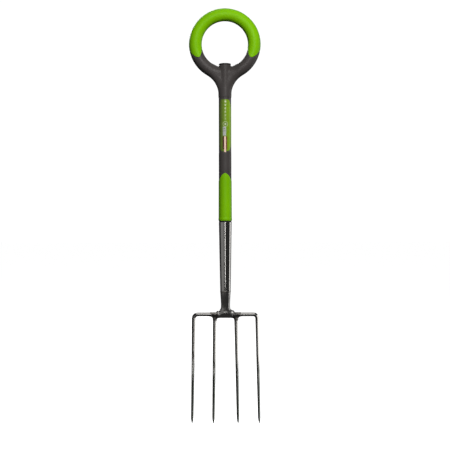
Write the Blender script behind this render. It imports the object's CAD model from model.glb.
"""The digging fork's looks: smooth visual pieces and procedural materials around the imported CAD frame."""
from math import atan2, cos, pi, radians, sin, sqrt

import bmesh
import bpy
import numpy as np
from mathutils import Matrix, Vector


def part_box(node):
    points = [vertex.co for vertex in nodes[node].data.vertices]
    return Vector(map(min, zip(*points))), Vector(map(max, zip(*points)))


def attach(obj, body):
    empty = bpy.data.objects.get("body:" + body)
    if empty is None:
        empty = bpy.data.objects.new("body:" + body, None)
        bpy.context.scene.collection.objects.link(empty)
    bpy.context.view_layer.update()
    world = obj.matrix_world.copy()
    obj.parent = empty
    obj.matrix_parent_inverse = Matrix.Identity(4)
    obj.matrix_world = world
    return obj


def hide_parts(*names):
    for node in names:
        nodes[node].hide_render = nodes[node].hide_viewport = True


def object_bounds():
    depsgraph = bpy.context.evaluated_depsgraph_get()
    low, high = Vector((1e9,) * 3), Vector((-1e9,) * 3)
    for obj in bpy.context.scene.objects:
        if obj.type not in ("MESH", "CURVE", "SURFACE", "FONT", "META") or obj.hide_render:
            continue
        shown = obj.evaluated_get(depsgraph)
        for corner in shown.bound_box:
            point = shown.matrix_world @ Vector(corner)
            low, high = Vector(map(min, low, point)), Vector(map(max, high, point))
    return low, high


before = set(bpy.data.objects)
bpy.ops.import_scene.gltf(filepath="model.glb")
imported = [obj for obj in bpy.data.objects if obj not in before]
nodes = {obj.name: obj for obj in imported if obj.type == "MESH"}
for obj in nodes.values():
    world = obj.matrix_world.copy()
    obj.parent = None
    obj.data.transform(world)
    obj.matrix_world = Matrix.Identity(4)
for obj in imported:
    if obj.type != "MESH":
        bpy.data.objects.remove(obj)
cad_low, cad_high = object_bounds()

MM = 0.001
tips_z = cad_low.z          # heights below are millimetres above the tine tips
ROOT = "root"


def box_mm(node):
    """A CAD node's corners, in millimetres, with heights measured up from the tine tips."""
    low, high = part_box(node)
    lift = Vector((0, 0, tips_z))
    return (Vector(low) - lift) / MM, (Vector(high) - lift) / MM


# ---------------------------------------------------------------- sizes, read from the frame
grip_high = box_mm("ring_grip")[1]
GRIP_R = grip_high.y
RING_R = grip_high.x - GRIP_R
RING_Z = grip_high.z - RING_R - GRIP_R
frame_low, frame_high = box_mm("handle_frame")
NECK_R = frame_high.y
plug_high = box_mm("handle_end_plug")[1]
PLUG_R, PLUG_TOP, PLUG_RISE = plug_high.x, plug_high.z, 6.1
NECK_LOW, STUB_TOP = frame_low.z, PLUG_TOP - PLUG_RISE
casing_low, casing_high = box_mm("shaft_casing")
CASING_R, CASING_LOW = casing_high.x, casing_low.z
label_low, label_high = box_mm("shaft_label")
sleeve_low, sleeve_high = box_mm("lower_grip_sleeve")
seal_low, seal_high = box_mm("socket_seal_ring")
socket_low, socket_high = box_mm("socket_tube")
hub_low, hub_high = box_mm("head_hub")
outer_low = box_mm("outer_tine_right")[0]
CORE_R = box_mm("core_tube")[1].x

# the same driving dimensions as the CAD model, where no node's box gives them
ARM_R = 80.0
RING_TUBE_R = 17.1
GRIP_END, GRIP_TONGUE = radians(28.5), 25.0
SLEEVE_TONGUE = 20.0
GROOVE_Z, GROOVE_DEPTH, GROOVE_WIDTH = 675.0, 0.4, 1.2
SOCKET_LOW_R = 14.1
HUB_Y, HUB_HALF, HUB_TOP, HUB_LOW = 8.0, outer_low.x, 303.0, hub_low.z
BAR_Z, BAR_HALF, BAR_DEPTH, CORNER_R = 292.0, 5.5, 6.6, 11.0
OUTER_X, OUTER_TIP_X, INNER_X, INNER_TIP_X = 86.0, 90.3, 28.9, 33.2
TINE_CURVE_R, TIP_LENGTH = 1800.0, 18.0
TINE_LOW_HALF, TINE_LOW_DEPTH = 3.6, 4.2


# ---------------------------------------------------------------- mesh helpers
def piece(name, verts_mm, faces, material, slot, *replaced):
    """A smooth mesh piece from millimetre points, riding on the root and standing for CAD nodes."""
    points = np.asarray(verts_mm, float) * MM
    points[:, 2] += tips_z
    mesh = bpy.data.meshes.new(name)
    mesh.from_pydata(points.tolist(), [], [list(map(int, f)) for f in faces])
    mesh.validate()
    mesh.polygons.foreach_set("use_smooth", [True] * len(mesh.polygons))
    mesh.materials.append(material)
    obj = bpy.data.objects.new(name, mesh)
    bpy.context.scene.collection.objects.link(obj)
    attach(obj, ROOT)
    if replaced:
        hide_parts(*replaced)
    return obj


def weighted(obj):
    """Keeps flat faces flat in the shading next to their small rounded edges."""
    obj.modifiers.new("weighted", "WEIGHTED_NORMAL").keep_sharp = True
    return obj


def loop_grid(rings):
    """Faces that join rings of points into a closed surface: both directions wrap round."""
    n_rings, n = rings.shape[:2]
    index = np.arange(n_rings * n).reshape(n_rings, n)
    a, b = index, np.roll(index, -1, axis=0)
    faces = np.stack([a, np.roll(a, -1, axis=1), np.roll(b, -1, axis=1), b], axis=-1)
    return rings.reshape(-1, 3), faces.reshape(-1, 4)


def lathe(profile, segments=128):
    """A closed (radius, height) outline turned about the Z axis."""
    outline = np.array(profile, float)
    turn = np.linspace(0, 2 * pi, segments, endpoint=False)
    rings = np.stack(
        [
            outline[:, :1] * np.cos(turn),
            outline[:, :1] * np.sin(turn),
            np.repeat(outline[:, 1:], segments, axis=1),
        ],
        axis=-1,
    )
    return loop_grid(rings)


def rounded(corners, radius, steps=4):
    """An outline with each corner rounded; radius is one number or one for each corner."""
    points = [np.array(c, float) for c in corners]
    radii = radius if isinstance(radius, (list, tuple)) else [radius] * len(points)
    out = []
    for i, (p, r) in enumerate(zip(points, radii)):
        before, after = points[i - 1], points[(i + 1) % len(points)]
        u, v = before - p, after - p
        lu, lv = np.linalg.norm(u), np.linalg.norm(v)
        if r <= 0 or lu < 1e-6 or lv < 1e-6:
            out.append(p)
            continue
        u, v = u / lu, v / lv
        reach = min(r, 0.45 * lu, 0.45 * lv)
        for k in range(steps + 1):
            t = k / steps
            a, b = p + u * reach, p + v * reach
            out.append((1 - t) ** 2 * a + 2 * t * (1 - t) * p + t**2 * b)
    return out


def densify(outline, longest):
    """Adds points so that no side of a closed outline is longer than this."""
    out = []
    for i, p in enumerate(outline):
        q = outline[(i + 1) % len(outline)]
        n = max(1, int(np.ceil(np.linalg.norm(np.subtract(q, p)) / longest)))
        out += [np.add(p, np.subtract(q, p) * k / n) for k in range(n)]
    return out


# ---------------------------------------------------------------- implicit surfaces
def smooth_min(a, b, k):
    h = np.maximum(k - np.abs(a - b), 0) / k
    return np.minimum(a, b) - h * h * k / 4


def smooth_max(a, b, k):
    return -smooth_min(-a, -b, k)


def net(field, low, high, step):
    """A quad mesh of field = 0 by surface nets, each point then moved onto the surface."""
    axes = [np.arange(a, b + step, step) for a, b in zip(low, high)]
    shape = [len(a) for a in axes]
    X, Y, Z = np.meshgrid(*axes, indexing="ij")
    F = field(X, Y, Z)
    inside = F < 0
    # one vertex in each cell that the surface crosses, at the mean of its edge crossings
    total = np.zeros([n - 1 for n in shape] + [3])
    count = np.zeros([n - 1 for n in shape])
    G = np.stack([X, Y, Z], axis=-1)
    for axis in range(3):
        first = [slice(None)] * 3
        second = [slice(None)] * 3
        first[axis], second[axis] = slice(0, -1), slice(1, None)
        fa, fb = F[tuple(first)], F[tuple(second)]
        crossed = (fa < 0) != (fb < 0)
        t = np.where(crossed, fa / np.where(crossed, fa - fb, 1), 0)
        at = G[tuple(first)] + t[..., None] * (G[tuple(second)] - G[tuple(first)])
        at = at * crossed[..., None]
        others = [i for i in range(3) if i != axis]
        for da in (0, 1):
            for db in (0, 1):
                pick = [slice(None)] * 3
                for o, d in zip(others, (da, db)):
                    pick[o] = slice(d, shape[o] - 1 + d)
                total += at[tuple(pick)]
                count += crossed[tuple(pick)]
    used = count > 0
    ids = np.full(used.shape, -1)
    ids[used] = np.arange(used.sum())
    points = total[used] / count[used][:, None]
    faces = []
    for axis in range(3):
        others = [i for i in range(3) if i != axis]
        first = [slice(1, -1)] * 3
        second = [slice(1, -1)] * 3
        first[axis], second[axis] = slice(0, -1), slice(1, None)
        a, b = inside[tuple(first)], inside[tuple(second)]
        where = np.argwhere(a != b)
        out = a[tuple(where.T)]
        offset = np.array([1, 1, 1])
        offset[axis] = 0
        base = where + offset
        corner = []
        for da, db in ((-1, -1), (0, -1), (0, 0), (-1, 0)):
            c = base.copy()
            c[:, others[0]] += da
            c[:, others[1]] += db
            corner.append(ids[tuple(c.T)])
        quad = np.stack(corner, axis=1)
        turn = out if axis != 1 else ~out
        faces.append(np.where(turn[:, None], quad, quad[:, ::-1]))
    faces = np.concatenate(faces)
    faces = faces[(faces >= 0).all(axis=1)]
    return onto(field, points, step), faces


def onto(field, points, step):
    """Newton steps onto field = 0, never further than one cell."""
    start, eps = points.copy(), 0.01
    for _ in range(6):
        x, y, z = points.T
        f = field(x, y, z)
        g = np.stack(
            [
                field(x + eps, y, z) - field(x - eps, y, z),
                field(x, y + eps, z) - field(x, y - eps, z),
                field(x, y, z + eps) - field(x, y, z - eps),
            ],
            axis=1,
        ) / (2 * eps)
        size = np.maximum((g * g).sum(axis=1), 0.05)
        move = -(f / size)[:, None] * g
        points = points + np.clip(move, -0.4 * step, 0.4 * step)
    away = points - start
    far = np.linalg.norm(away, axis=1, keepdims=True)
    return start + away * np.minimum(1, 1.2 * step / np.maximum(far, 1e-9))


# ---------------------------------------------------------------- shader helpers
class Shader:
    """A Principled material whose patterns are read in the object's own metres."""

    def __init__(self, name):
        self.material = bpy.data.materials.new(name)
        self.material.use_nodes = True
        self.tree = self.material.node_tree
        self.bsdf = self.tree.nodes["Principled BSDF"]
        self.place = self.node("ShaderNodeTexCoord").outputs["Object"]

    def node(self, kind, **values):
        made = self.tree.nodes.new(kind)
        for key, value in values.items():
            setattr(made, key, value)
        return made

    def set(self, **values):
        for key, value in values.items():
            self.bsdf.inputs[key.replace("_", " ")].default_value = value

    def link(self, out, socket):
        self.tree.links.new(out, self.bsdf.inputs[socket] if isinstance(socket, str) else socket)

    def math(self, operation, *terms, clamp=False):
        made = self.node("ShaderNodeMath", operation=operation, use_clamp=clamp)
        for socket, term in zip(made.inputs, terms):
            if isinstance(term, (int, float)):
                socket.default_value = term
            else:
                self.tree.links.new(term, socket)
        return made.outputs[0]

    def stretched(self, scale):
        made = self.node("ShaderNodeMapping")
        made.inputs["Scale"].default_value = scale
        self.tree.links.new(self.place, made.inputs["Vector"])
        return made.outputs[0]

    def noise(self, scale, detail=3.0, rough=0.5, stretch=None, distortion=0.0):
        made = self.node("ShaderNodeTexNoise")
        made.inputs["Scale"].default_value = scale
        made.inputs["Detail"].default_value = detail
        made.inputs["Roughness"].default_value = rough
        made.inputs["Distortion"].default_value = distortion
        self.tree.links.new(self.stretched(stretch) if stretch else self.place, made.inputs["Vector"])
        return made.outputs["Fac"]

    def spots(self, scale, feature="F1"):
        made = self.node("ShaderNodeTexVoronoi", feature=feature)
        made.inputs["Scale"].default_value = scale
        self.tree.links.new(self.place, made.inputs["Vector"])
        return made.outputs["Distance"]

    def span(self, value, low, high, to_low=0.0, to_high=1.0, smooth=False):
        made = self.node("ShaderNodeMapRange", interpolation_type="SMOOTHSTEP" if smooth else "LINEAR")
        made.clamp = True
        for socket, term in zip(made.inputs, (value, low, high, to_low, to_high)):
            if isinstance(term, (int, float)):
                socket.default_value = term
            else:
                self.tree.links.new(term, socket)
        return made.outputs[0]

    def mix(self, share, low, high, blend="MIX"):
        made = self.node("ShaderNodeMix", data_type="RGBA", blend_type=blend)
        sockets = (made.inputs["Factor"], made.inputs[6], made.inputs[7])
        for socket, term in zip(sockets, (share, low, high)):
            if isinstance(term, (int, float)):
                socket.default_value = term
            elif isinstance(term, (tuple, list)):
                socket.default_value = (*term, 1.0)
            else:
                self.tree.links.new(term, socket)
        return made.outputs[2]

    def bump(self, *layers):
        """Layers of (height, depth in metres)."""
        before = None
        for height, depth in layers:
            made = self.node("ShaderNodeBump")
            made.inputs["Strength"].default_value = 1.0
            made.inputs["Distance"].default_value = depth
            self.tree.links.new(height, made.inputs["Height"])
            if before:
                self.tree.links.new(before, made.inputs["Normal"])
            before = made.outputs[0]
        self.link(before, "Normal")

    def edges(self, low=0.51, high=0.56):
        """1 on convex edges, 0 on flat parts."""
        return self.span(self.node("ShaderNodeNewGeometry").outputs["Pointiness"], low, high)

    def height(self):
        """Metres above the tine tips, and the across and depth coordinates."""
        made = self.node("ShaderNodeSeparateXYZ")
        self.tree.links.new(self.place, made.inputs[0])
        x, y, z = made.outputs
        return x, y, self.math("SUBTRACT", z, tips_z)


def charcoal_resin(name, shade=1.0):
    """Recycled charcoal resin: pale flecks, a fine moulded grain and rubbed edges."""
    s = Shader(name)
    cloud = s.noise(9.0, 4.0)
    base = s.mix(s.span(cloud, 0.35, 0.68), (0.052 * shade, 0.046 * shade, 0.044 * shade),
                 (0.072 * shade, 0.064 * shade, 0.062 * shade))
    fleck = s.math("LESS_THAN", s.spots(620.0), 0.16)
    rare = s.math("GREATER_THAN", s.noise(210.0, 1.0), 0.58)
    base = s.mix(s.math("MULTIPLY", s.math("MULTIPLY", fleck, rare), 0.35), base, (0.16, 0.155, 0.15))
    scuff = s.math("GREATER_THAN", s.noise(60.0, 8.0, 0.75, stretch=(9.0, 9.0, 1.0)), 0.72)
    base = s.mix(s.math("MULTIPLY", scuff, 0.25), base, (0.12, 0.115, 0.11))
    base = s.mix(s.math("MULTIPLY", s.edges(0.53, 0.62), 0.3), base, (0.13, 0.125, 0.12))
    s.link(base, "Base Color")
    s.link(s.span(s.noise(35.0, 5.0), 0.3, 0.7, 0.29, 0.38), "Roughness")
    s.set(IOR=1.48, Specular_IOR_Level=0.24)
    s.bump((s.noise(1500.0, 2.0), 0.000009), (s.noise(170.0, 3.0), 0.000018))
    return s.material


def green_rubber(name):
    """Soft lime green rubber: satin, faintly uneven, with a fine grain and handling marks."""
    s = Shader(name)
    base = s.mix(s.span(s.noise(14.0, 4.0), 0.3, 0.7), (0.185, 0.480, 0.0), (0.220, 0.545, 0.0))
    rubbed = s.span(s.noise(52.0, 6.0, 0.7), 0.56, 0.74)
    base = s.mix(s.math("MULTIPLY", rubbed, 0.22), base, (0.140, 0.370, 0.0))
    grime = s.math("MULTIPLY", s.math("GREATER_THAN", s.noise(330.0, 2.0), 0.68), 0.18)
    base = s.mix(grime, base, (0.11, 0.26, 0.004))
    s.link(base, "Base Color")
    s.link(s.span(s.noise(46.0, 5.0), 0.3, 0.7, 0.36, 0.52), "Roughness")
    s.set(IOR=1.46, Specular_IOR_Level=0.22)
    s.bump((s.noise(1900.0, 2.0), 0.000008), (s.noise(120.0, 3.0), 0.000016))
    return s.material


def stainless(name, streak=(1.0, 1.0, 0.012), rough=(0.12, 0.16), tone=1.0, forged=0.0, stained=False):
    """Stainless steel with fine drawn lines, small scratches, smudges and, if forged, shallow pits."""
    s = Shader(name)
    lines = s.noise(1400.0, 3.0, 0.6, stretch=streak)
    wide = s.noise(240.0, 3.0, 0.6, stretch=streak)
    smudge = s.noise(24.0, 5.0, 0.6)
    base = s.mix(s.span(wide, 0.3, 0.7), (0.50 * tone, 0.485 * tone, 0.465 * tone),
                 (0.62 * tone, 0.61 * tone, 0.59 * tone))
    base = s.mix(s.span(smudge, 0.5, 0.8, 0.0, 0.35), base, (0.40 * tone, 0.38 * tone, 0.35 * tone))
    if stained:
        height = s.math("ADD", s.height()[2], s.math("MULTIPLY", s.math("SUBTRACT", smudge, 0.5), 0.12))
        soil = s.span(height, 0.205, 0.095, smooth=True)
        base = s.mix(s.math("MULTIPLY", soil, 0.92), base, (0.105, 0.115, 0.105))
    s.link(base, "Base Color")
    s.set(Metallic=1.0)
    uneven = s.math("ADD", s.math("MULTIPLY", lines, 0.5), s.math("MULTIPLY", smudge, 0.5))
    scratch = s.math("GREATER_THAN", s.noise(90.0, 9.0, 0.8, stretch=(3.0, 3.0, 0.25), distortion=0.6), 0.70)
    value = s.span(uneven, 0.35, 0.65, rough[0], rough[1])
    s.link(s.math("ADD", value, s.math("MULTIPLY", scratch, 0.04)), "Roughness")
    layers = [(lines, 0.0000008), (wide, 0.0000015)]
    if forged:
        layers.append((s.noise(260.0, 4.0, 0.6), 0.00003 * forged))
    s.bump(*layers)
    return s.material


def weld_metal(name):
    """Dressed weld: duller, slightly straw coloured by heat, with soft ripples."""
    s = Shader(name)
    tint = s.noise(70.0, 3.0)
    base = s.mix(s.span(tint, 0.35, 0.7), (0.30, 0.29, 0.275), (0.34, 0.315, 0.28))
    s.link(base, "Base Color")
    s.set(Metallic=1.0)
    s.link(s.span(s.noise(300.0, 4.0), 0.3, 0.7, 0.26, 0.44), "Roughness")
    s.bump((s.noise(420.0, 3.0), 0.00008))
    return s.material


def black_rubber(name):
    """Matt black rubber with a fine grain."""
    s = Shader(name)
    base = s.mix(s.span(s.noise(40.0, 4.0), 0.35, 0.7), (0.012, 0.012, 0.012), (0.026, 0.026, 0.025))
    s.link(base, "Base Color")
    s.link(s.span(s.noise(90.0, 4.0), 0.3, 0.7, 0.5, 0.66), "Roughness")
    s.bump((s.noise(1500.0, 2.0), 0.00004))
    return s.material


def printed_film(name):
    """The shaft's film: green print with parabolic tongue ends, generic marks and a clear coat.

    The print is drawn in the front view, from the across and height coordinates in millimetres.
    """
    s = Shader(name)
    x_m, y_m, z_m = s.height()
    x = s.math("MULTIPLY", x_m, 1000.0)
    z = s.math("MULTIPLY", z_m, 1000.0)
    front = s.math("LESS_THAN", y_m, 0.0)
    low, high = label_low.z + 2.5, label_high.z - 4.0
    wide = s.math("DIVIDE", s.math("ABSOLUTE", x), label_high.x)
    top = s.math("SUBTRACT", high, s.math("MULTIPLY", s.math("POWER", wide, 7.0), 32.0))
    bottom = s.math("ADD", low, s.math("MULTIPLY", s.math("POWER", wide, 6.0), 26.0))

    def between(value, start, end):
        return s.math("MULTIPLY", s.math("GREATER_THAN", value, start), s.math("LESS_THAN", value, end))

    def block(x0, x1, z0, z1):
        return s.math("MULTIPLY", s.math("MULTIPLY", between(x, x0, x1), between(z, z0, z1)), front)

    def disc(cx, cz, r):
        dx, dz = s.math("SUBTRACT", x, cx), s.math("SUBTRACT", z, cz)
        away = s.math("SQRT", s.math("ADD", s.math("MULTIPLY", dx, dx), s.math("MULTIPLY", dz, dz)))
        return s.math("MULTIPLY", s.math("LESS_THAN", away, r), front)

    inside = s.math("MULTIPLY", s.math("LESS_THAN", z, top), s.math("GREATER_THAN", z, bottom))
    rim = s.math("MULTIPLY", s.math("LESS_THAN", z, s.math("SUBTRACT", top, 1.2)),
                 s.math("GREATER_THAN", z, s.math("ADD", bottom, 1.2)))
    cloud = s.noise(20.0, 3.0)
    charcoal = s.mix(s.span(cloud, 0.35, 0.7), (0.050, 0.045, 0.043), (0.066, 0.059, 0.057))
    side = s.span(x, -12.0, 12.0)
    green = s.mix(side, (0.105, 0.155, 0.022), (0.225, 0.410, 0.006))
    green = s.mix(s.span(s.noise(60.0, 4.0), 0.4, 0.7, 0.0, 0.3), green, (0.17, 0.26, 0.03))
    base = s.mix(inside, charcoal, (0.10, 0.17, 0.02))
    base = s.mix(rim, base, green)
    # a column of plain lozenges
    for k in range(6):
        fade = 0.95 - 0.13 * k
        mark = block(-0.9, 3.2 - 0.35 * (k % 2), high - 9.0 - 9.2 * k, high - 4.0 - 9.2 * k)
        base = s.mix(s.math("MULTIPLY", mark, fade), base, (0.62, 0.68, 0.42))
    # a plain ring with a dot
    ring_z = high - 67.0
    base = s.mix(disc(1.0, ring_z, 7.4), base, (0.40, 0.50, 0.20))
    base = s.mix(disc(1.0, ring_z, 5.6), base, (0.14, 0.24, 0.03))
    base = s.mix(disc(1.0, ring_z, 2.4), base, (0.60, 0.66, 0.45))
    # a pale panel, then three stripes
    base = s.mix(block(-5.8, 3.0, high - 98.0, high - 74.0), base, (0.43, 0.45, 0.43))
    base = s.mix(block(-4.6, 0.6, high - 80.5, high - 78.5), base, (0.16, 0.20, 0.10))
    base = s.mix(block(-4.6, 1.8, high - 86.5, high - 84.5), base, (0.20, 0.24, 0.14))
    base = s.mix(block(-6.4, -2.5, high - 134.0, high - 100.0), base, (0.060, 0.012, 0.006))
    base = s.mix(block(-2.5, 2.7, high - 143.0, high - 100.0), base, (0.86, 0.60, 0.47))
    base = s.mix(block(2.7, 5.8, high - 136.0, high - 100.0), base, (0.150, 0.055, 0.008))
    s.link(base, "Base Color")
    s.link(s.span(s.noise(80.0, 5.0), 0.3, 0.7, 0.24, 0.38), "Roughness")
    s.set(Coat_Weight=0.25, Coat_Roughness=0.18, IOR=1.5, Specular_IOR_Level=0.35)
    s.bump((s.noise(260.0, 3.0), 0.00002), (s.math("MULTIPLY", inside, 1.0), 0.00004))
    return s.material


RESIN = charcoal_resin("charcoal resin")
RESIN_DARK = charcoal_resin("plug resin", 0.75)
GREEN = green_rubber("lime green rubber")
FILM = printed_film("printed film")
STEEL = stainless("drawn stainless")
STEEL_TINE = stainless(
    "ground stainless", streak=(1.0, 1.0, 0.03), rough=(0.14, 0.22), tone=0.98, stained=True
)
STEEL_BAR = stainless("ground stainless crosswise", streak=(0.03, 1.0, 1.0), rough=(0.14, 0.24), tone=0.95)
STEEL_FORGED = stainless(
    "forged stainless", streak=(1.0, 1.0, 0.2), rough=(0.26, 0.36), tone=0.85, forged=1.0
)
STEEL_CORE = stainless("drawn carbon steel", rough=(0.3, 0.45), tone=0.6)
STEEL_RIVET = stainless("rivet steel", streak=(1.0, 1.0, 1.0), rough=(0.22, 0.34))
WELD = weld_metal("dressed weld")
SEAL = black_rubber("seal rubber")
BUSH = charcoal_resin("bush resin", 1.3)


# ---------------------------------------------------------------- ring handle
rise = sqrt((RING_R + ARM_R) ** 2 - ARM_R**2)
ARM_Z = RING_Z - rise
ARM_TURN = atan2(rise, ARM_R)
SECTOR_END = GRIP_END - GRIP_TONGUE / RING_R


def past_grip_end(x, y, z):
    """How far a point near the ring lies beyond the soft grip's end, along the ring, in mm."""
    radial = np.sqrt(x * x + (z - RING_Z) ** 2)
    down = np.arctan2(RING_Z - z, np.abs(x))
    beyond = (down - SECTOR_END) * RING_R
    across = np.clip((radial - RING_R) / GRIP_R, -1, 1)
    return beyond - GRIP_TONGUE * (1 - across**2)


def handle_field(x, y, z):
    """The ring, the two arms and the through tube, blended as one moulding."""
    radial = np.sqrt(x * x + (z - RING_Z) ** 2) - RING_R
    bed = 1.6 * np.clip((0.3 - past_grip_end(x, y, z)) / 2.2, 0, 1)
    ring = np.sqrt(radial**2 + y * y) - (RING_TUBE_R - bed)
    ax = np.abs(x)
    turn = np.clip(np.arctan2(z - ARM_Z, ARM_R - ax), 0, ARM_TURN)
    cx, cz = ARM_R - ARM_R * np.cos(turn), ARM_Z + ARM_R * np.sin(turn)
    near = np.clip((44.0 - ax) / 22.0, 0, 1)
    near = near * near * (3 - 2 * near)
    flat = 1 + 0.2 * near
    low_ring = np.sqrt(radial**2 + (y * flat) ** 2) - (RING_TUBE_R - bed)
    arm = np.sqrt((ax - cx) ** 2 + (y * flat) ** 2 + (z - cz) ** 2) - NECK_R
    arms = smooth_min(np.where(z > RING_Z, ring, low_ring), arm, 0.3 + 3.0 * near)
    share = np.clip((z - ARM_Z) / 22.0, 0, 1)
    tube_r = NECK_R + (PLUG_R - NECK_R) * share
    tube = smooth_max(np.sqrt(x * x + y * y) - tube_r, z - STUB_TOP, 1.2)
    tube = np.maximum(tube, ARM_Z - 60.0 - z)
    both = smooth_min(arms, tube, 2.2)
    return smooth_max(both, NECK_LOW - z, 1.0)


step = 1.25
pad = 3.0
points, quads = net(
    handle_field,
    (-RING_R - RING_TUBE_R - pad, -NECK_R - pad, NECK_LOW - pad),
    (RING_R + RING_TUBE_R + pad, NECK_R + pad, RING_Z + RING_R + RING_TUBE_R + pad),
    step,
)
piece("handle_frame_moulding", points, quads, RESIN, "charcoal_resin", "handle_frame")


def grip_rings(along=150, inside=60, around=64):
    """The soft grip as a closed shell: out over its surface, round its lip and back underneath."""
    turn = np.linspace(0, 2 * pi, around, endpoint=False)
    across = np.cos(turn)
    tongue = GRIP_TONGUE * (1 - across**2)
    end = pi / 2 + SECTOR_END + np.arctan(tongue / (RING_R + GRIP_R * across))
    lip, under = 0.9, GRIP_R - 1.9
    rings = []

    def add(angle, radius):
        reach = RING_R + radius * across
        depth = -radius * np.sin(turn)
        rings.append(np.stack([reach * np.sin(angle), depth, RING_Z + reach * np.cos(angle)], axis=-1))

    back = lip / RING_R
    for t in np.linspace(-1, 1, along):
        add((end - back) * t, GRIP_R)
    for q in np.linspace(0.15, 1, 6) * pi / 2:
        add(end - back + back * sin(q), GRIP_R - lip + lip * cos(q))
    add(end, GRIP_R - 1.4)
    for t in np.linspace(1, -1, inside):
        add((end - 0.2 * back) * t, under)
    add(-end, GRIP_R - 1.4)
    for q in np.linspace(1, 0.15, 6) * pi / 2:
        add(-(end - back + back * sin(q)), GRIP_R - lip + lip * cos(q))
    return np.array(rings)


piece("ring_grip_rubber", *loop_grid(grip_rings()), GREEN, "green_grip", "ring_grip")

plug_profile = rounded(
    [
        (0.02, STUB_TOP - 14), (9.4, STUB_TOP - 14), (10, STUB_TOP - 12), (10, STUB_TOP),
        (PLUG_R - 1.2, STUB_TOP), (PLUG_R - 1.2, STUB_TOP + 1.3), (PLUG_R, STUB_TOP + 1.3),
        (PLUG_R, PLUG_TOP - 1.5), (PLUG_R - 4, PLUG_TOP - 0.75), (5.0, PLUG_TOP - 0.15),
        (4.6, PLUG_TOP - 0.7),
        (0.02, PLUG_TOP - 0.7),
    ],
    [0, 0.4, 0.4, 0, 0.1, 0.1, 0.3, 1.2, 2.0, 0.3, 0.3, 0],
)
piece("handle_end_plug_cap", *lathe(densify(plug_profile, 2.5)), RESIN_DARK, "plug_resin", "handle_end_plug")

# ---------------------------------------------------------------- shaft
bed_top = sleeve_high.z - SLEEVE_TONGUE - 6.0
casing_profile = rounded(
    [
        (CORE_R, CASING_LOW), (15.0, CASING_LOW), (15.0, bed_top), (CASING_R, bed_top),
        (CASING_R, GROOVE_Z), (CASING_R - GROOVE_DEPTH, GROOVE_Z + 0.2),
        (CASING_R - GROOVE_DEPTH, GROOVE_Z + GROOVE_WIDTH - 0.2), (CASING_R, GROOVE_Z + GROOVE_WIDTH),
        (CASING_R, label_low.z), (label_high.x - 0.25, label_low.z), (label_high.x - 0.25, NECK_LOW),
        (15.0, NECK_LOW), (15.0, casing_high.z), (CORE_R, casing_high.z),
    ],
    [0, 0.2, 0, 0.3, 0.25, 0.15, 0.15, 0.25, 0.2, 0.05, 0.1, 0.1, 0.2, 0],
)
piece("shaft_casing_tube", *lathe(densify(casing_profile, 8.0)), RESIN, "charcoal_resin", "shaft_casing")

film_in, film_out = label_high.x - 0.24, label_high.x
film_profile = rounded(
    [(film_in, label_low.z), (film_out, label_low.z), (film_out, label_high.z), (film_in, label_high.z)],
    0.12,
    3,
)
piece("shaft_label_film", *lathe(densify(film_profile, 4.0)), FILM, "label_film", "shaft_label")


def sleeve_rings(around=128):
    """The lower sleeve: flared body, lip bead and a wavy top edge, as a closed shell."""
    turn = np.linspace(0, 2 * pi, around, endpoint=False)
    low, low_r, top_r, lip_r = sleeve_low.z, 17.9, 17.5, sleeve_high.x
    top = sleeve_high.z - SLEEVE_TONGUE * np.cos(turn) ** 2
    under = 15.0
    rings = []

    def add(radius, height):
        ring = np.stack([radius * np.cos(turn), radius * np.sin(turn), height * np.ones(around)], axis=-1)
        rings.append(ring)

    foot = rounded([(under, low), (low_r - 0.7, low), (low_r, low + 1.6)], [0, 0.8, 0.3])
    for r, h in foot[:-1]:
        add(r, h)
    for t in np.linspace(0, pi, 9):
        add(low_r + (lip_r - low_r) * sin(t), low + 4.5 - 2.6 * cos(t))
    for t in np.linspace(0.02, 1, 44):
        height = low + 8.5 + (top - 0.9 - low - 8.5) * t
        add(low_r + (top_r - low_r) * (height - low) / (sleeve_high.z - low), height)
    for q in np.linspace(0.2, 1, 5) * pi / 2:
        add(top_r - 0.8 + 0.8 * cos(q), top - 0.9 + 0.9 * sin(q))
    add(top_r - 1.3, top)
    for t in np.linspace(0.98, 0.02, 16):
        add(under, low + (top - low) * t)
    return np.array(rings)


piece("lower_grip_rubber", *loop_grid(sleeve_rings()), GREEN, "green_grip", "lower_grip_sleeve")

seal_r, seal_mid = seal_high.x, (seal_low.z + seal_high.z) / 2
seal_profile = rounded(
    [
        (CORE_R, seal_low.z), (seal_r - 0.3, seal_low.z), (seal_r, seal_low.z + 0.5),
        (seal_r, seal_mid - 0.35),
        (seal_r - 0.5, seal_mid), (seal_r, seal_mid + 0.35), (seal_r, seal_high.z - 0.5),
        (seal_r - 0.3, seal_high.z), (CORE_R, seal_high.z),
    ],
    [0, 0.2, 0.3, 0.2, 0.2, 0.2, 0.3, 0.2, 0],
)
piece("socket_seal", *lathe(seal_profile), SEAL, "seal_rubber", "socket_seal_ring")

# ---------------------------------------------------------------- socket
SOCKET_WALL = 2.0
SOCKET_TOP_R = 17.4
slope = (SOCKET_TOP_R - SOCKET_LOW_R) / (socket_high.z - socket_low.z)


def socket_r(z):
    return SOCKET_LOW_R + slope * (z - socket_low.z)


socket_profile = rounded(
    [
        (SOCKET_LOW_R - SOCKET_WALL, socket_low.z), (SOCKET_LOW_R - 0.05, socket_low.z),
        (SOCKET_TOP_R, socket_high.z), (SOCKET_TOP_R - SOCKET_WALL, socket_high.z),
    ],
    [0.2, 0.3, 0.7, 0.4],
    6,
)
socket_mesh = lathe(densify(socket_profile, 12.0), 160)
piece("socket_tube_tapered", *socket_mesh, STEEL, "stainless_steel", "socket_tube")

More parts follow.
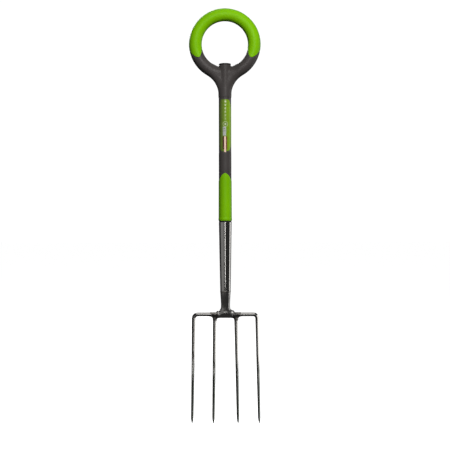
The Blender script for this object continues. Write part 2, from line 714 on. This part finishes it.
bead_profile = rounded(
    [
        (SOCKET_LOW_R - 1.6, socket_low.z), (SOCKET_LOW_R - 0.15, socket_low.z - 2.1),
        (SOCKET_LOW_R + 0.10, socket_low.z - 0.8), (SOCKET_LOW_R + 0.14, socket_low.z + 0.8),
        (SOCKET_LOW_R - 0.05, socket_low.z + 2.1),
    ],
    [0.2, 0.3, 0.9, 0.9, 0.3],
    5,
)
piece("socket_weld_bead", *lathe(densify(bead_profile, 1.0), 160), WELD, "weld_steel", "socket_weld")


def rivet(height):
    """A domed blind rivet with its mandrel hole, pointing out of the socket's back."""
    seat = socket_r(height) - 0.4
    profile = rounded(
        [
            (0.02, -8.0), (2.35, -8.0), (2.35, -0.4), (4.75, -0.5), (4.75, 0.45),
            (3.2, 1.25), (1.35, 1.5), (1.1, 0.5), (0.02, 0.4),
        ],
        [0, 0.3, 0.1, 0.1, 0.35, 1.0, 0.3, 0.2, 0],
    )
    verts, faces = lathe(densify(profile, 1.2), 48)
    out = np.stack([verts[:, 0], seat + verts[:, 2], height - verts[:, 1]], axis=1)
    return out, faces


rivets_low, rivets_high = box_mm("socket_rivets")
rivet_parts = [rivet(rivets_low.z + 4.8), rivet(rivets_high.z - 4.8)]
verts = np.concatenate([v for v, _ in rivet_parts])
faces = np.concatenate([rivet_parts[0][1], rivet_parts[1][1] + len(rivet_parts[0][0])])
piece("socket_rivet_pair", verts, faces, STEEL_RIVET, "rivet_steel", "socket_rivets")


# ---------------------------------------------------------------- forged neck and hub
NECK_STATIONS = np.array(
    [(298.0, 12.1), (320.0, 12.2), (334.0, 12.8), (346.0, 13.5), (hub_high.z - 28.0, SOCKET_LOW_R)]
)


def neck_y(z):
    """The neck's crank: from the shaft axis back to the hub."""
    t = np.clip((socket_low.z - z) / (socket_low.z - 300.0), 0, 1)
    return HUB_Y * t * t * (3 - 2 * t)


def diamond_bar(along, up, depth, half_length, half_height, half_depth, soft):
    """A ridged bar: its ridges are up, down, front and back, and its edges are softened."""
    slant = np.hypot(half_height, half_depth)
    a, b = np.sqrt(up * up + soft * soft) - soft, np.sqrt(depth * depth + soft * soft) - soft
    side = (a * half_depth + b * half_height - half_height * half_depth) / slant
    return smooth_max(side, np.abs(along) - half_length, 1.6)


def hub_field(x, y, z):
    radius = np.interp(z, NECK_STATIONS[:, 0], NECK_STATIONS[:, 1])
    neck = np.sqrt(x * x + (y - neck_y(z)) ** 2) - radius
    neck = np.maximum(neck, 296.0 - z)
    mid = (HUB_TOP + HUB_LOW) / 2
    tall, deep = (HUB_TOP - HUB_LOW) / 2 + 0.3, 8.8
    swell = (np.abs((z - mid) / tall) ** 2.6 + np.abs((y - HUB_Y) / deep) ** 2.6) ** (1 / 2.6)
    body = smooth_max((swell - 1) * deep, np.abs(x) - HUB_HALF, 4.0)
    both = smooth_min(neck, body, 9.0)
    both = smooth_max(both, np.abs(y - HUB_Y) - 11.9 - 0.6 * np.maximum(z - HUB_TOP, 0), 1.5)
    both = smooth_max(both, HUB_LOW + 0.1 - z, 2.0)
    return smooth_max(both, z - socket_low.z, 0.5)


step = 0.8
points, quads = net(hub_field, (-27, -17, HUB_LOW - 3), (27, 21, socket_low.z + 3), step)
piece("head_hub_forging", points, quads, STEEL_FORGED, "stainless_steel", "head_hub")


# ---------------------------------------------------------------- crossbar and tines
def diamond_section(half_u, half_v, ridge, n=5):
    """(u, v) points of a diamond with rounded ridges and crisper sides; extra points hold the flats."""
    corners = [(half_u, 0), (0, half_v), (-half_u, 0), (0, -half_v)]
    out = []
    for i, c in enumerate(corners):
        p = np.array(c, float)
        before, after = np.array(corners[i - 1], float), np.array(corners[(i + 1) % 4], float)
        u, v = before - p, after - p
        lu = np.linalg.norm(u)
        u, v = u / lu, v / lu
        soft = ridge * (1.0 if i % 2 else 0.55)
        out.append(p + u * min(2.2 * soft, 0.4 * lu))
        for k in range(n):
            t = k / (n - 1)
            a, b = p + u * soft, p + v * soft
            out.append((1 - t) ** 2 * a + 2 * t * (1 - t) * p + t * t * b)
        out.append(p + v * min(2.2 * soft, 0.4 * lu))
        out.append(p + v * 0.5 * lu)
    return np.array(out)


def ground_flat(z, middle, reach, depth):
    """How much of the front ridge is ground away at this height: a long shallow oval."""
    away = (z - middle) / reach
    return depth * sqrt(max(1 - away * away, 0))


def tine_station(z, top_x, tip_x):
    share = 1 - z / (BAR_Z - CORNER_R)
    x = top_x + (tip_x - top_x) * share
    half = BAR_HALF + (TINE_LOW_HALF - BAR_HALF) * share
    depth = BAR_DEPTH + (TINE_LOW_DEPTH - BAR_DEPTH) * share
    y = HUB_Y - (BAR_Z - z) ** 2 / (2 * TINE_CURVE_R)
    return x, y, half, depth


def tine_rings(side, top_x, tip_x, crossbar, flat):
    """Section rings from the crossbar's inner end (or the tine's top) to the point."""
    rings = []

    def add(centre, normal, half, depth, soft, ground=0.0):
        uv = diamond_section(half, depth, soft)
        uv[:, 1] = np.maximum(uv[:, 1], ground - depth)
        ring = np.array(centre) + uv[:, :1] * np.array(normal) + uv[:, 1:] * np.array([0, 1, 0])
        rings.append(ring)

    full = BAR_DEPTH
    if crossbar:
        start, bend = HUB_HALF + 0.2, top_x - CORNER_R
        for x in np.linspace(start, bend, 26):
            add((x, HUB_Y, BAR_Z), (0, 0, 1), BAR_HALF, full, 1.1)
        for q in np.linspace(0, pi / 2, 17)[1:-1]:
            centre = (bend + CORNER_R * sin(q), HUB_Y, BAR_Z - CORNER_R + CORNER_R * cos(q))
            add(centre, (sin(q), 0, cos(q)), BAR_HALF, full, 1.1)
        heights = np.linspace(BAR_Z - CORNER_R, TIP_LENGTH, 110)
    else:
        heights = np.linspace(BAR_Z + 1.0, TIP_LENGTH, 112)
    for z in heights:
        x, y, half, depth = tine_station(z, top_x, tip_x)
        if z > BAR_Z - CORNER_R:
            half, depth = BAR_HALF, full - 0.15
        soft = 0.9 + 0.25 * (z / BAR_Z)
        add((x, y, z), (1, 0, 0), half, depth, soft, ground_flat(z, *flat))
    for t in np.linspace(0, 1, 14)[1:]:
        z = TIP_LENGTH * (1 - t) + 0.25 * t
        x, y, half, depth = tine_station(z, top_x, tip_x)
        shrink = max(1 - t**1.7, 0.0) * 0.86 + 0.14 * (1 - t**8)
        shrink = max(shrink, 0.03)
        add((x, y, z), (1, 0, 0), half * shrink, depth * shrink, 0.9 * shrink)
    rings = np.array(rings)
    rings[..., 0] *= side
    return rings


def capped_tube(rings):
    """Faces along the rings, with a fan closing each end."""
    count, n = rings.shape[:2]
    index = np.arange(count * n).reshape(count, n)
    a, b = index[:-1], index[1:]
    faces = np.stack([a, np.roll(a, -1, axis=1), np.roll(b, -1, axis=1), b], axis=-1).reshape(-1, 4).tolist()
    faces += [index[0][::-1].tolist(), index[-1].tolist()]
    return rings.reshape(-1, 3), faces


# middle height, reach and depth of each ground flat: the left pair is worn more than the right
OUTER_FLAT, INNER_FLAT = (152.0, 42.0, 1.9), (144.0, 22.0, 1.8)
OUTER_FAINT, INNER_FAINT = (150.0, 26.0, 1.0), (140.0, 16.0, 1.0)
for name, side, top_x, tip_x, crossbar, flat in (
    ("outer_tine_right", 1, OUTER_X, OUTER_TIP_X, True, OUTER_FAINT),
    ("outer_tine_left", -1, OUTER_X, OUTER_TIP_X, True, OUTER_FLAT),
    ("inner_tine_right", 1, INNER_X, INNER_TIP_X, False, INNER_FAINT),
    ("inner_tine_left", -1, INNER_X, INNER_TIP_X, False, INNER_FLAT),
):
    verts, faces = capped_tube(tine_rings(side, top_x, tip_x, crossbar, flat))
    obj = piece(name + "_bar", verts, faces, STEEL_TINE, "stainless_steel", name)
    mesh = obj.data
    if crossbar:
        mesh.materials.append(STEEL_BAR)
        for poly in mesh.polygons:
            poly.material_index = int(abs(poly.center.x) < (OUTER_X - 0.6 * CORNER_R) * MM)
    bm = bmesh.new()
    bm.from_mesh(mesh)
    bmesh.ops.recalc_face_normals(bm, faces=bm.faces)
    bm.to_mesh(mesh)
    bm.free()
    weighted(obj)


# ---------------------------------------------------------------- weld fillets
def crossbar_field(x, y, z):
    return diamond_bar(x - 50.0, z - BAR_Z, y - HUB_Y, 50.0, BAR_HALF, BAR_DEPTH, 0.6)


def inner_tine_field(x, y, z):
    share = 1 - z / (BAR_Z - CORNER_R)
    cx = INNER_X + (INNER_TIP_X - INNER_X) * share
    cy = HUB_Y - (BAR_Z - z) ** 2 / (2 * TINE_CURVE_R)
    half = BAR_HALF + (TINE_LOW_HALF - BAR_HALF) * np.maximum(share, 0)
    depth = BAR_DEPTH + (TINE_LOW_DEPTH - BAR_DEPTH) * np.maximum(share, 0)
    return diamond_bar(z - 200.0, x - cx, y - cy, BAR_Z - 200.0, half, depth, 0.6)


def weld_field(x, y, z):
    """The build-up where the hub, the crossbar and an inner tine meet; it fades into all three."""
    steel = smooth_min(crossbar_field(x, y, z), inner_tine_field(x, y, z), 6.0)
    return smooth_min(steel, hub_field(x, y, z), 4.5) + 0.12


def upper_weld(x, y, z):
    reach = np.sqrt(((x - INNER_X) / 13.0) ** 2 + ((z - BAR_Z - 4) / 12.0) ** 2 + ((y - HUB_Y) / 12.0) ** 2)
    return np.maximum(np.maximum(weld_field(x, y, z), (reach - 1) * 10), BAR_Z - z)


def lower_weld(x, y, z):
    reach = np.sqrt(((x - INNER_X) / 14.0) ** 2 + ((z - BAR_Z + 4) / 14.0) ** 2 + ((y - HUB_Y) / 12.0) ** 2)
    return np.maximum(np.maximum(weld_field(x, y, z), (reach - 1) * 10), z - BAR_Z)


step = 0.6
for stem, field, low, high in (
    ("crossbar_weld", upper_weld, (14, -4, BAR_Z - 2), (46, 20, BAR_Z + 16)),
    ("tine_weld", lower_weld, (12, -4, BAR_Z - 20), (46, 20, BAR_Z + 2)),
):
    points, quads = net(field, low, high, step)
    for side, word in ((1, "right"), (-1, "left")):
        mirrored = points * np.array([side, 1, 1])
        turned = quads if side > 0 else quads[:, ::-1]
        piece(f"{stem}_{word}_fillet", mirrored, turned, WELD, "weld_steel", f"{stem}_{word}")

# hidden pieces keep their CAD shape
for node, material in (("core_tube", STEEL_CORE), ("socket_bush", BUSH)):
    nodes[node].data.materials.clear()
    nodes[node].data.materials.append(material)

# ---------------------------------------------------------------- floor, light and camera
scene = bpy.context.scene
scene.view_settings.view_transform = "Standard"


def panel(name, width, height, place, towards, material):
    """A flat panel that faces a point."""
    mesh = bpy.data.meshes.new(name)
    w, h = width / 2, height / 2
    mesh.from_pydata([(-w, -h, 0), (w, -h, 0), (w, h, 0), (-w, h, 0)], [], [(0, 1, 2, 3)])
    mesh.materials.append(material)
    obj = bpy.data.objects.new(name, mesh)
    scene.collection.objects.link(obj)
    obj.location = place
    obj.rotation_euler = (Vector(towards) - Vector(place)).to_track_quat("Z", "Y").to_euler()
    return obj


floor_shader = Shader("pale floor")
floor_tone = floor_shader.mix(floor_shader.noise(3.0), (0.80, 0.80, 0.80), (0.83, 0.83, 0.83))
floor_shader.link(floor_tone, "Base Color")
floor_shader.set(Roughness=0.9, Emission_Color=(1, 1, 1, 1), Emission_Strength=0.97)
floor = panel("floor", 60, 60, (0, 0, tips_z), (0, 0, tips_z + 1), floor_shader.material)
floor.visible_glossy = False
floor.visible_diffuse = False

world = bpy.data.worlds.new("studio")
scene.world = world
world.use_nodes = True
tree = world.node_tree
background = tree.nodes["Background"]
seen = tree.nodes.new("ShaderNodeLightPath").outputs["Is Camera Ray"]
strength = tree.nodes.new("ShaderNodeMapRange")
strength.inputs["To Min"].default_value = 0.035
strength.inputs["To Max"].default_value = 1.05
tree.links.new(seen, strength.inputs["Value"])
tree.links.new(strength.outputs[0], background.inputs["Strength"])
background.inputs["Color"].default_value = (1, 1, 1, 1)

middle = Vector((0, 0, (cad_low.z + cad_high.z) / 2))


def softbox(name, place, size, power, diffuse=True, glossy=True):
    """A soft lamp aimed at the fork's middle; it can be kept out of the matt or the mirrored light."""
    lamp = bpy.data.lights.new(name, "AREA")
    lamp.shape = "RECTANGLE"
    lamp.size, lamp.size_y = size
    lamp.energy = power
    obj = bpy.data.objects.new(name, lamp)
    scene.collection.objects.link(obj)
    obj.location = place
    obj.rotation_euler = (middle - Vector(place)).to_track_quat("-Z", "Y").to_euler()
    obj.visible_diffuse = diffuse
    obj.visible_glossy = glossy
    return obj


def around(azimuth, elevation, distance):
    """A place seen from the middle: azimuth 0 is the camera's side and 90 is the right-hand side."""
    a, e = radians(azimuth), radians(elevation)
    return middle + distance * Vector((sin(a) * cos(e), -cos(a) * cos(e), sin(e)))


softbox("key", around(17, 31, 2.6), (1.0, 1.0), 62, glossy=False)
softbox("key sheen", around(11, 31, 2.6), (1.5, 1.3), 17, diffuse=False)
softbox("front strip", around(-2.4, 0, 3.2) + Vector((0, 0, 0.30)), (0.30, 1.60), 6.0, diffuse=False)
softbox("left fill", around(-58, 4, 2.6), (3.3, 2.2), 5.6, diffuse=False)
softbox("right side", around(114, 2, 2.4), (2.2, 2.4), 5.0, diffuse=False)
softbox("right strip", around(101, 2, 2.3), (0.6, 2.4), 7.5, diffuse=False)
softbox("top", around(180, 80, 2.4), (2.2, 1.2), 7, diffuse=False)
softbox("back key", around(205, 35, 2.8), (1.5, 1.2), 34)
softbox("back strip", around(186, 0, 3.2), (0.5, 2.2), 4)

CAMERA_Y, PICTURE_M, CAMERA_ROLL = -2.75, 1.215, 0.15
camera = bpy.data.cameras.new("camera")
camera.sensor_width = 36.0
camera.lens = 36.0 * abs(CAMERA_Y) / PICTURE_M
view = bpy.data.objects.new("camera", camera)
scene.collection.objects.link(view)
view.location = (-0.0007, CAMERA_Y, tips_z + 0.534)
view.rotation_euler = (pi / 2, radians(CAMERA_ROLL), 0)
scene.camera = view
